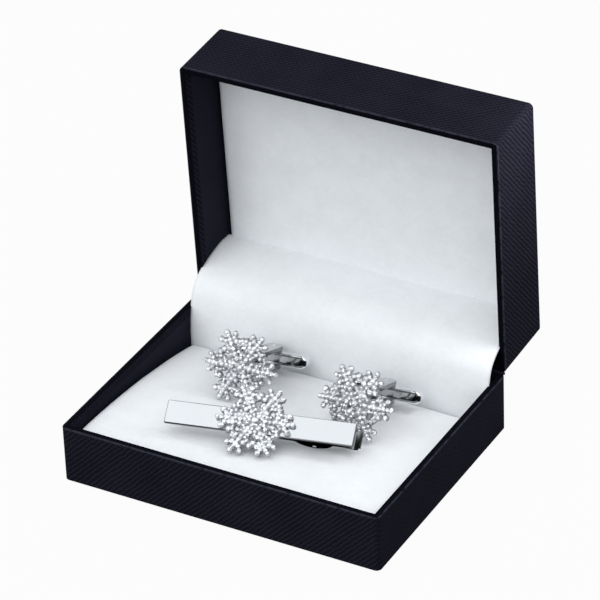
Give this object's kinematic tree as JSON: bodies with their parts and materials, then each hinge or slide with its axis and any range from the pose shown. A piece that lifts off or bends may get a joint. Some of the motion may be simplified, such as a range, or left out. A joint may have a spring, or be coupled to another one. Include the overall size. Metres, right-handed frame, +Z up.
{
  "type": "tie clip and cufflink box",
  "caption": "Snap-hinged leatherette case with a sloping velvet pad, holding a snowflake tie clip and a pair of snowflake cufflinks.",
  "frame": {"origin": "centre of the underside of the base", "axes": "+Z up, -Y towards the front, +X to the right; the lid is open behind the base"},
  "size_m": [0.082, 0.0822, 0.0791],
  "materials": {
    "leatherette": "ribbed navy leatherette paper",
    "board": "grey board",
    "lining": "plain navy lining paper",
    "velvet": "white short-pile velvet",
    "foam": "soft foam",
    "spring_steel": "bright steel",
    "silver": "polished silver-coloured plate",
    "grained_silver": "granulated silver-coloured plate"
  },
  "bodies": {
    "base": {"underside_sheet": "lining", "base_board": "board", "base_wrap": "leatherette", "base_liner": "lining", "pad_card": "board", "foam_block": "foam", "pad_cover": "velvet", "hinge_curtain": "velvet", "hinge_leaf_base": "spring_steel", "hinge_pin": "spring_steel", "hinge_rivets_base": "spring_steel", "bow_springs": "spring_steel"},
    "lid": {"lid_wrap": "leatherette", "lid_board": "board", "lid_liner": "lining", "lid_panel_cover": "velvet", "lid_panel_foam": "foam", "lid_panel_card": "board", "hinge_leaf_lid": "spring_steel", "hinge_rivets_lid": "spring_steel"},
    "clip_jaw": {"clip_jaw": "silver", "clip_pivot_pin": "silver", "clip_spring": "spring_steel"},
    "clip_front": {"clip_bar": "silver", "clip_bracket": "silver", "clip_snowflake": "grained_silver"},
    "cufflink_left": {"left_snowflake": "grained_silver", "left_foot": "silver", "left_post": "silver", "left_toggle_pin": "silver"},
    "toggle_left": {"left_toggle": "silver", "left_toggle_detent": "spring_steel"},
    "cufflink_right": {"right_snowflake": "grained_silver", "right_foot": "silver", "right_post": "silver", "right_toggle_pin": "silver"},
    "toggle_right": {"right_toggle": "silver", "right_toggle_detent": "spring_steel"}
  },
  "joints": [
    {"name": "lid_hinge", "type": "hinge", "parent": "base", "child": "lid", "pos_m": [0, 0.0318, 0.01465], "axis": [-1, 0, 0], "range_deg": [-87, 0], "deforming": ["hinge_curtain", "bow_springs"]},
    {"name": "clip_lift", "type": "slide", "parent": "base", "child": "clip_jaw", "axis": [0, -0.342, 0.9397], "range_m": [0, 0.03]},
    {"name": "clip_hinge", "type": "hinge", "parent": "clip_jaw", "child": "clip_front", "pos_m": [0.01334, -0.00878, 0.01471], "axis": [-0.1898, 0.7969, 0.5736], "range_deg": [0, 14], "stiffness_Nm_per_rad": 0.02, "springref_deg": -28.65, "deforming": ["clip_spring"]},
    {"name": "left_lift", "type": "slide", "parent": "base", "child": "cufflink_left", "axis": [0, 0.1736, 0.9848], "range_m": [0, 0.03]},
    {"name": "left_toggle_swing", "type": "hinge", "parent": "cufflink_left", "child": "toggle_left", "pos_m": [-0.01467, 0.02076, 0.0101], "axis": [-0.0685, 0.399, 0.9144], "range_deg": [0, 90]},
    {"name": "right_lift", "type": "slide", "parent": "base", "child": "cufflink_right", "axis": [0, 0.1736, 0.9848], "range_m": [0, 0.03]},
    {"name": "right_toggle_swing", "type": "hinge", "parent": "cufflink_right", "child": "toggle_right", "pos_m": [0.01633, 0.01916, 0.01031], "axis": [-0.0685, 0.399, 0.9144], "range_deg": [0, 90]}
  ]
}
